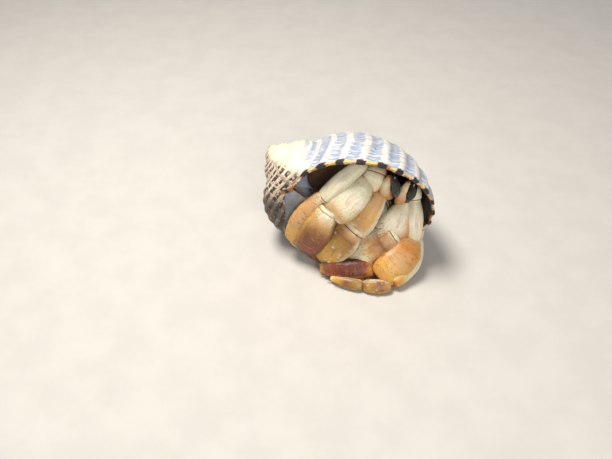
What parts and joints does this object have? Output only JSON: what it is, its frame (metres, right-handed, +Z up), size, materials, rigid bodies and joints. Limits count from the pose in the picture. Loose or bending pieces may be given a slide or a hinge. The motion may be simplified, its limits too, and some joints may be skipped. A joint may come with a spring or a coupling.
{
  "type": "hermit crab in a sea snail shell",
  "caption": "Land hermit crab drawn back into a ribbed sea snail shell, legs folded over the mouth, resting on the ground.",
  "frame": {"origin": "on the ground, under the middle of the model's outline", "axes": "+Z up; the crab faces -Y; the tip of the shell points to -X, back and up"},
  "size_m": [0.027, 0.0244, 0.021],
  "materials": {
    "shell": "satin",
    "pale_cuticle": "satin",
    "orange_cuticle": "satin",
    "ochre_cuticle": "satin",
    "rust_cuticle": "satin",
    "soft_body": "satin",
    "eyestalk": "satin",
    "cornea": "gloss"
  },
  "bodies": {
    "root": {"shell": "shell", "second_leg_right_merus": "pale_cuticle", "second_leg_right_carpus": "rust_cuticle", "second_leg_right_ischium": "pale_cuticle", "third_leg_right_merus": "pale_cuticle", "third_leg_right_carpus": "ochre_cuticle", "cheliped_right_merus": "orange_cuticle", "cheliped_right_carpus": "ochre_cuticle", "second_leg_left_merus": "pale_cuticle", "second_leg_left_carpus": "orange_cuticle", "second_leg_left_propodus": "rust_cuticle", "third_leg_left_carpus": "pale_cuticle", "third_leg_left_propodus": "orange_cuticle", "third_leg_left_dactyl": "orange_cuticle", "cheliped_left_merus": "pale_cuticle", "cheliped_left_carpus": "ochre_cuticle", "second_leg_left_ischium": "pale_cuticle", "third_leg_left_merus": "pale_cuticle", "cornea_right": "cornea", "cornea_left": "cornea", "eyestalk_right": "eyestalk", "eyestalk_left": "eyestalk", "antenna_base_right": "soft_body", "antenna_base_left": "soft_body", "antennule_right": "soft_body", "antennule_left": "soft_body", "maxilliped_right": "pale_cuticle", "maxilliped_left": "pale_cuticle", "cheliped_right_palm": "ochre_cuticle", "cheliped_right_finger": "pale_cuticle", "cheliped_left_palm": "ochre_cuticle", "cheliped_left_finger": "pale_cuticle", "second_leg_right_propodus": "rust_cuticle", "second_leg_right_dactyl": "orange_cuticle", "third_leg_right_propodus": "ochre_cuticle", "third_leg_right_dactyl": "orange_cuticle", "second_leg_left_dactyl": "orange_cuticle", "carapace": "soft_body", "thorax": "soft_body", "abdomen": "soft_body", "antenna_whip_right": "rust_cuticle", "antenna_whip_left": "rust_cuticle", "fourth_leg_right": "soft_body", "fourth_leg_left": "soft_body"}
  },
  "joints": []
}
